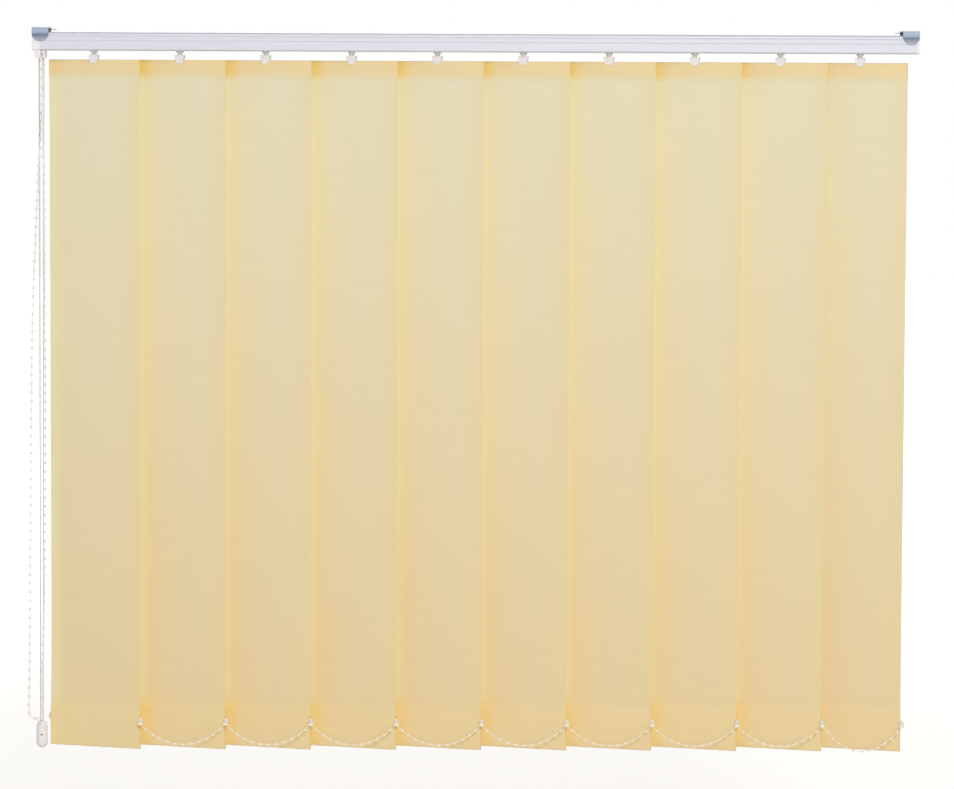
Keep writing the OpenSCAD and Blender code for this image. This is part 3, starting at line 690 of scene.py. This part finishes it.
vane_fabric, tree, shader = finish_named("stiffened woven polyester")
cloth_map = add(tree, "ShaderNodeUVMap", uv_map="cloth").outputs["UV"]
split = add(tree, "ShaderNodeSeparateXYZ", {"Vector": cloth_map})
across, along = split.outputs["X"], split.outputs["Y"]
height = add(
    tree, "ShaderNodeMapRange", {"Value": along, "From Min": VANE_BOTTOM * MM, "From Max": VANE_TOP * MM}
)
base = add(
    tree,
    "ShaderNodeMix",
    {FACTOR: height.outputs["Result"], COLOUR_A: linear("#F0DAAA"), COLOUR_B: linear("#EFE8C6")},
    data_type="RGBA",
)
from_middle = add(tree, "ShaderNodeMath", {0: across}, operation="ABSOLUTE").outputs["Value"]
near_edge = add(
    tree,
    "ShaderNodeMapRange",
    {"Value": from_middle, "From Min": EDGE_START * MM, "From Max": HALF_WIDTH * MM, "To Max": EDGE_SHARE},
    interpolation_type="SMOOTHSTEP",
)
edged = add(
    tree,
    "ShaderNodeMix",
    {FACTOR: near_edge.outputs["Result"], COLOUR_A: base.outputs[MIXED], COLOUR_B: linear("#F2DC9C")},
    data_type="RGBA",
)
print("cloth finish:", vane_fabric.name)

# %% [markdown]
# ## The lapped edge and the pockets
#
# In the pockets the cloth is doubled and looks deeper and warmer. The left edge of each vane lies behind
# the right edge of the neighbour at its left, and two things happen on its face towards the room. Light
# that comes through the neighbour makes up for its shade, and in the pockets light that bounces between
# the two deepens the colour. A second material on the back could keep that side plain, but then each tone
# would be written twice, so one material tells the two faces apart by their normal.

# %% Lapped edge
LAP_START, LAP_END, LAP_SHARE = -40.0, -61.5, 0.55

normal = add(tree, "ShaderNodeTexCoord").outputs["Normal"]
facing = add(tree, "ShaderNodeSeparateXYZ", {"Vector": normal}).outputs["Y"]
to_room = add(tree, "ShaderNodeMath", {0: facing, 1: 0.0}, operation="LESS_THAN").outputs["Value"]
glow_share = add(tree, "ShaderNodeMath", {0: to_room, 1: LAP_SHARE}, operation="MULTIPLY").outputs["Value"]
lit_through = add(
    tree,
    "ShaderNodeMapRange",
    {"Value": across, "From Min": LAP_START * MM, "From Max": LAP_END * MM, "To Max": glow_share},
    interpolation_type="SMOOTHSTEP",
)
glowing = add(
    tree,
    "ShaderNodeMix",
    {FACTOR: lit_through.outputs["Result"], COLOUR_A: edged.outputs[MIXED], COLOUR_B: linear("#F5EEC2")},
    data_type="RGBA",
)
print("lapped edge from", LAP_START, "to", LAP_END, "millimetres")

# %% Pockets
TOP_SHARE, BOTTOM_SHARE = 0.82, 0.55
TOP_FADE, BOTTOM_FADE = (TOP_WELD - 2, VANE_TOP - 13), (BOTTOM_WELD + 12, BOTTOM_WELD - 10)
BOUNCE_START, BOUNCE_END, BOUNCE_SHARE = -30.0, -55.0, 1.2

pockets = []
for (start, end), share in ((TOP_FADE, TOP_SHARE), (BOTTOM_FADE, BOTTOM_SHARE)):
    pocket = add(
        tree,
        "ShaderNodeMapRange",
        {"Value": along, "From Min": start * MM, "From Max": end * MM, "To Max": share},
        interpolation_type="SMOOTHSTEP",
    )
    pockets.append(pocket.outputs["Result"])
in_pocket = add(tree, "ShaderNodeMath", dict(enumerate(pockets)), operation="MAXIMUM").outputs["Value"]
doubled = add(
    tree,
    "ShaderNodeMix",
    {FACTOR: in_pocket, COLOUR_A: glowing.outputs[MIXED], COLOUR_B: linear("#F6DDA4")},
    data_type="RGBA",
)
# The first vane has no neighbour at its left, so each vane carries a number that says how far it is lapped.
lap = add(tree, "ShaderNodeAttribute", attribute_name="lapped").outputs["Fac"]
bounce = add(tree, "ShaderNodeMath", {0: lap, 1: BOUNCE_SHARE}, operation="MULTIPLY").outputs["Value"]
room_bounce = add(tree, "ShaderNodeMath", {0: bounce, 1: to_room}, operation="MULTIPLY").outputs["Value"]
left_edge = add(
    tree,
    "ShaderNodeMapRange",
    {"Value": across, "From Min": BOUNCE_START * MM, "From Max": BOUNCE_END * MM, "To Max": room_bounce},
    interpolation_type="SMOOTHSTEP",
)
bounced = add(tree, "ShaderNodeMath", {0: left_edge.outputs["Result"], 1: in_pocket}, operation="MULTIPLY")
deepened = add(
    tree,
    "ShaderNodeMix",
    {FACTOR: bounced.outputs["Value"], COLOUR_A: doubled.outputs[MIXED], COLOUR_B: linear("#F6D47A")},
    data_type="RGBA",
)
print("pockets from the top to", TOP_WELD, "and from", BOTTOM_WELD, "to the bottom, in millimetres")

# %% [markdown]
# ## Welds, slubs and weave
#
# Each pocket is closed by two weld lines, pressed about 2 mm wide and 5 mm apart, that look a shade
# darker. Slubs are thick places in the weft, a few millimetres high and much longer across. They give the
# cloth its faint level streaks. The weave itself is bump: two waves, one for each set of yarns.

# %% Welds and slubs
WELD_SPACING, WELD_HALF, WELD_SHADE = 5, 1.0, 0.965
SLUB_LENGTH, SLUB_HEIGHT, SLUB_CONTRAST = 55.556, 3.8462, 0.03

welds = 1.0
for level in (TOP_WELD, TOP_WELD + WELD_SPACING, BOTTOM_WELD, BOTTOM_WELD + WELD_SPACING):
    away = add(tree, "ShaderNodeMath", {0: along, 1: level * MM}, operation="SUBTRACT").outputs["Value"]
    near = add(tree, "ShaderNodeMath", {0: away}, operation="ABSOLUTE").outputs["Value"]
    weld = add(
        tree,
        "ShaderNodeMapRange",
        {"Value": near, "From Max": WELD_HALF * MM, "To Min": WELD_SHADE, "To Max": 1.0},
    ).outputs["Result"]
    welds = add(tree, "ShaderNodeMath", {0: welds, 1: weld}, operation="MULTIPLY").outputs["Value"]
slub_scale = (per_metre(SLUB_LENGTH), per_metre(SLUB_HEIGHT), 1.0)
slub_place = add(tree, "ShaderNodeMapping", {"Vector": cloth_map, "Scale": slub_scale}).outputs["Vector"]
slubs = add(tree, "ShaderNodeTexNoise", {"Vector": slub_place, "Scale": 1.0, "Detail": 4.0}).outputs["Fac"]
slub_light = add(
    tree, "ShaderNodeMapRange", {"Value": slubs, "To Min": 1 - SLUB_CONTRAST, "To Max": 1 + SLUB_CONTRAST}
)
shade = add(tree, "ShaderNodeMath", {0: slub_light.outputs["Result"], 1: welds}, operation="MULTIPLY")
woven = add(
    tree,
    "ShaderNodeMix",
    {FACTOR: 1.0, COLOUR_A: deepened.outputs[MIXED], COLOUR_B: shade.outputs["Value"]},
    data_type="RGBA",
    blend_type="MULTIPLY",
)
print("slubs of", SLUB_LENGTH, "by", SLUB_HEIGHT, "millimetres")

# %% Weave
# The yarns are drawn 1 mm apart, about twice the real spacing, so that a close view can show them.
YARN_SPACING = 1.0

yarns = {"Vector": cloth_map, "Scale": WAVE_PERIOD * per_metre(YARN_SPACING)}
warp = add(tree, "ShaderNodeTexWave", yarns, bands_direction="X")
weft = add(tree, "ShaderNodeTexWave", {**yarns, "Distortion": 0.6}, bands_direction="Y")
weave = add(tree, "ShaderNodeMath", {0: warp.outputs["Fac"], 1: weft.outputs["Fac"]}, operation="ADD")
bump = add(tree, "ShaderNodeBump", {"Height": weave.outputs["Value"], "Strength": 0.25, "Distance": 0.0001})
roughness = add(tree, "ShaderNodeMapRange", {"Value": slubs, "To Min": 0.72, "To Max": 0.9})
sources = {
    "Base Color": woven.outputs[MIXED],
    "Roughness": roughness.outputs["Result"],
    "Normal": bump.outputs["Normal"],
}
connect(tree, shader, sources)
shader.inputs["Specular IOR Level"].default_value = 0.2
shader.inputs["Sheen Weight"].default_value = 0.15
shader.inputs["Sheen Roughness"].default_value = 0.5
print("yarns", YARN_SPACING, "millimetres apart")

# %% [markdown]
# ## The vanes
#
# A vane is one strip, turned back at both ends and welded into a pocket. The upper pocket holds the
# hanger, the lower one the weight. A cloth simulation would hardly move these stiff strips, so the strip is
# drawn as its side view, a line from one welded flap round both folds to the other flap, and that line is
# swept across the width. Between the stiff ends the cloth bows a little and ripples by less than a
# millimetre, differently on each vane.

# %% Side view of a vane
FABRIC, FLARE = 0.45, 0.7
HANGER_BOTTOM, WEIGHT_SHOULDER = -60.5, -902.5
TOP_SIDE, BOTTOM_SIDE = 1.225, 1.975
FREE_ROWS = 58
# Heights above the lower edge and below the upper edge at which a pocket's straight sides have points.
BOTTOM_RISES, TOP_DROPS = (35.5, 23.5, 11.5, 2.1), (1.5, 6.5, 12.5)
# Half of each fold, as distance to the side and height from the edge.
LOWER_FOLD, UPPER_FOLD = [(1.75, 0.9), (1.1, 0.3)], [(0.9, 0.6), (0.45, 0.3)]
FOLD_MIDDLE = 0.23

lower_back = [(FABRIC, BOTTOM_WELD + rise) for rise in (10.5, 5.5, 0.0)]
lower_back += [(FLARE, BOTTOM_WELD - 2.5), (BOTTOM_SIDE, WEIGHT_SHOULDER)]
lower_back += [(BOTTOM_SIDE, VANE_BOTTOM + rise) for rise in BOTTOM_RISES]
lower_fold = [(w, VANE_BOTTOM + rise) for w, rise in LOWER_FOLD] + [(0.0, VANE_BOTTOM + FOLD_MIDDLE)]
lower_fold += [(-w, VANE_BOTTOM + rise) for w, rise in reversed(LOWER_FOLD)]
front = [(-BOTTOM_SIDE, VANE_BOTTOM + rise) for rise in reversed(BOTTOM_RISES)]
front += [(-BOTTOM_SIDE, WEIGHT_SHOULDER), (-FLARE, BOTTOM_WELD - 2.5)]
front += [(0.0, BOTTOM_WELD), (0.0, BOTTOM_WELD + 2)]
front += [(0.0, z) for z in np.linspace(BOTTOM_WELD + 10.5, TOP_WELD - 7.5, FREE_ROWS)]
front += [(0.0, TOP_WELD - 2), (0.0, TOP_WELD), (-FLARE / 2, TOP_WELD + 2), (-TOP_SIDE, HANGER_BOTTOM)]
front += [(-TOP_SIDE, VANE_TOP - drop) for drop in reversed(TOP_DROPS)]
upper_fold = [(-w, VANE_TOP - drop) for w, drop in UPPER_FOLD] + [(0.0, VANE_TOP - FOLD_MIDDLE)]
upper_fold += [(w, VANE_TOP - drop) for w, drop in reversed(UPPER_FOLD)]
upper_back = [(TOP_SIDE, VANE_TOP - drop) for drop in TOP_DROPS]
upper_back += [(TOP_SIDE, HANGER_BOTTOM), (FLARE, TOP_WELD + 2)]
upper_back += [(FABRIC, TOP_WELD - drop) for drop in (0.0, 2.5, 5.5)]

before_fold = lower_back + lower_fold + front
profile = np.array(before_fold + upper_fold + upper_back)
fold_rows = range(len(before_fold), len(before_fold + upper_fold) - 1)

# %% Faces of a vane
SLOT_HALF = 7.0
half_columns = [SLOT_HALF, 13.0, 20.0, 28.0, 36.0, 44.0, 52.0, 60.0, 62.5, HALF_WIDTH]
columns = np.array([-c for c in reversed(half_columns)] + [0.0] + half_columns)
width = len(columns)
# The claw passes through a slot in the upper fold.
slot_columns = [c for c in range(width - 1) if -SLOT_HALF <= columns[c] < SLOT_HALF]

faces = []
for r in range(len(profile) - 1):
    for c in range(width - 1):
        if r in fold_rows and c in slot_columns:
            continue
        a = r * width + c
        faces.append([a, a + width, a + width + 1, a + 1])
print("a vane has", len(faces), "faces in", width - 1, "columns")

# %% Vanes
# The cloth stays flat at a weld and bows freely from this many millimetres away.
STIFF_REACH = 90.0
BOW_LEVEL, RIPPLE_SLANT = 0.35, 1.4
# How far the left edge is lapped, on the first vane and on the others.
FIRST_LAP, FULL_LAP = 0.25, 1.0

rng = np.random.default_rng(7)
for number, stem in enumerate(STEMS, 1):
    bow = rng.uniform(0.6, 1.8)
    ripple = rng.uniform(0.15, 0.4)
    phase, waves = rng.uniform(0, 2 * math.pi), rng.uniform(1.2, 2.4)
    points, uv = [], []
    for w, z in profile:
        from_weld = max(0.0, min(z - BOTTOM_WELD, TOP_WELD - z))
        free_share = min(1.0, from_weld / STIFF_REACH)
        free_share = free_share * free_share * (3 - 2 * free_share)
        turns = waves * 2 * math.pi * z / (VANE_TOP - VANE_BOTTOM) + phase
        for u in columns:
            x = u / HALF_WIDTH
            give = bow * (x * x - BOW_LEVEL) + ripple * math.sin(turns + RIPPLE_SLANT * x)
            px, py = turned(u, w + free_share * give, -CLOSED_ANGLE)
            points.append(((stem + px) * MM, py * MM, z * MM))
            uv.append((u * MM, z * MM))
    vane = mesh_piece(f"vane_{number}_cloth", points, faces, vane_fabric, uv)
    lapped = vane.data.attributes.new("lapped", "FLOAT", "POINT")
    lapped.data.foreach_set("value", [FIRST_LAP if number == 1 else FULL_LAP] * len(points))
    thickness = vane.modifiers.new("cloth thickness", "SOLIDIFY")
    thickness.thickness = FABRIC * MM
    thickness.offset = 0.0
    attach(vane, f"vane_{number}")
    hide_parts(f"vane_{number}")
print("made", VANE_COUNT, "vanes")

# %% [markdown]
# ## Finishes for the rigid parts
#
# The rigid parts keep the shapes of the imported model. Each one gets the finish of its material. What isn't
# metal is white plastic, so only the metals need a list.

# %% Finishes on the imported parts
METALS = {
    "headrail": rail_enamel,
    "tilt_rod": rod_aluminium,
    "left_bracket": clip_steel,
    "right_bracket": clip_steel,
    "left_spring": spring_steel,
    "right_spring": spring_steel,
}
for name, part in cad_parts.items():
    finish = METALS.get(name, carrier_plastic if name.startswith("carrier") else white_plastic)
    part.data.materials.clear()
    part.data.materials.append(finish)
print("finishes set on", len(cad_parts), "parts")

# %% [markdown]
# ## Studio
#
# The blind hangs over a pale floor in a white room. The camera, reflections and glass see the room as
# plain white. Every other ray sees a softer white, so the light on the blind stays even and the shapes
# keep their shade. Near the blind the floor glows just enough to meet that white where the lamps reach it,
# and keeps the blind's soft shadow. Further away, where the lamps fade, it glows more and runs into the room.

# %% Floor
FLOOR_HEIGHT, FLOOR_REACH = -1.25, 20.0
NEAR_DISTANCE, NEAR_GLOW = 2.5, 0.45
FAR_DISTANCE, FAR_GLOW = 6.0, 0.8


def looked_at(tree):
    """1 for a ray that shows the background itself, in view, in a reflection or through glass."""
    path = add(tree, "ShaderNodeLightPath").outputs
    mirrored = add(
        tree,
        "ShaderNodeMath",
        {0: path["Is Glossy Ray"], 1: path["Is Transmission Ray"]},
        operation="MAXIMUM",
    ).outputs["Value"]
    seen = add(tree, "ShaderNodeMath", {0: path["Is Camera Ray"], 1: mirrored}, operation="MAXIMUM")
    return seen.outputs["Value"]


floor_finish, tree, shader = finish_named("pale studio floor")
shader.inputs["Base Color"].default_value = linear("#E6E2DC")
shader.inputs["Roughness"].default_value = 0.9
shader.inputs["Emission Color"].default_value = linear("#FFFFFF")
place = add(tree, "ShaderNodeTexCoord").outputs["Object"]
distance = add(tree, "ShaderNodeVectorMath", {0: place}, operation="LENGTH").outputs["Value"]
nearness = {"Value": distance, "From Min": NEAR_DISTANCE, "From Max": FAR_DISTANCE}
glow_there = add(
    tree,
    "ShaderNodeMapRange",
    {**nearness, "To Min": NEAR_GLOW, "To Max": FAR_GLOW},
    interpolation_type="SMOOTHSTEP",
).outputs["Result"]
glow = add(tree, "ShaderNodeMath", {0: looked_at(tree), 1: glow_there}, operation="MULTIPLY")
connect(tree, shader, {"Emission Strength": glow.outputs["Value"]})
corners = [(x * FLOOR_REACH, y * FLOOR_REACH, FLOOR_HEIGHT) for x, y in ((-1, -1), (1, -1), (1, 1), (-1, 1))]
floor = mesh_piece("floor", corners, [[0, 1, 2, 3]], floor_finish)
print("floor at the height in metres", FLOOR_HEIGHT)

# %% Room and lights
SOFT_WHITE, PLAIN_WHITE = 0.45, 1.0
LAMP_SIZE = 1.6

room = bpy.data.worlds.new("white room")
room.use_nodes = True
bpy.context.scene.world = room
tree = room.node_tree
brightness = {"Value": looked_at(tree), "To Min": SOFT_WHITE, "To Max": PLAIN_WHITE}
strength = add(tree, "ShaderNodeMapRange", brightness).outputs["Result"]
connect(tree, tree.nodes["Background"], {"Strength": strength})
tree.nodes["Background"].inputs["Color"].default_value = linear("#FFFFFF")


def soft_light(name, place, target, watts, colour):
    lamp = bpy.data.lights.new(name, "AREA")
    lamp.shape = "DISK"
    lamp.size = LAMP_SIZE
    lamp.energy = watts
    lamp.color = linear(colour)[:3]
    made = bpy.data.objects.new(name, lamp)
    bpy.context.scene.collection.objects.link(made)
    first, second, ahead = side_axes(np.array(target) - np.array(place))
    made.matrix_world = Matrix.Translation(place) @ Matrix([first, second, -ahead]).transposed().to_4x4()
    return made


key = soft_light("key", (0.9, -7.5, 2.6), (0, 0, -0.45), 225.0, "#F6F7FF")
fill = soft_light("fill", (0.9, -7.0, -1.0), (0, 0, -0.5), 88.0, "#FFF6EA")
back = soft_light("back", (-0.6, 7.5, 2.6), (0, 0, -0.45), 110.0, "#FFFFFF")
print("lights:", [(lamp.name, lamp.data.energy) for lamp in (key, fill, back)])
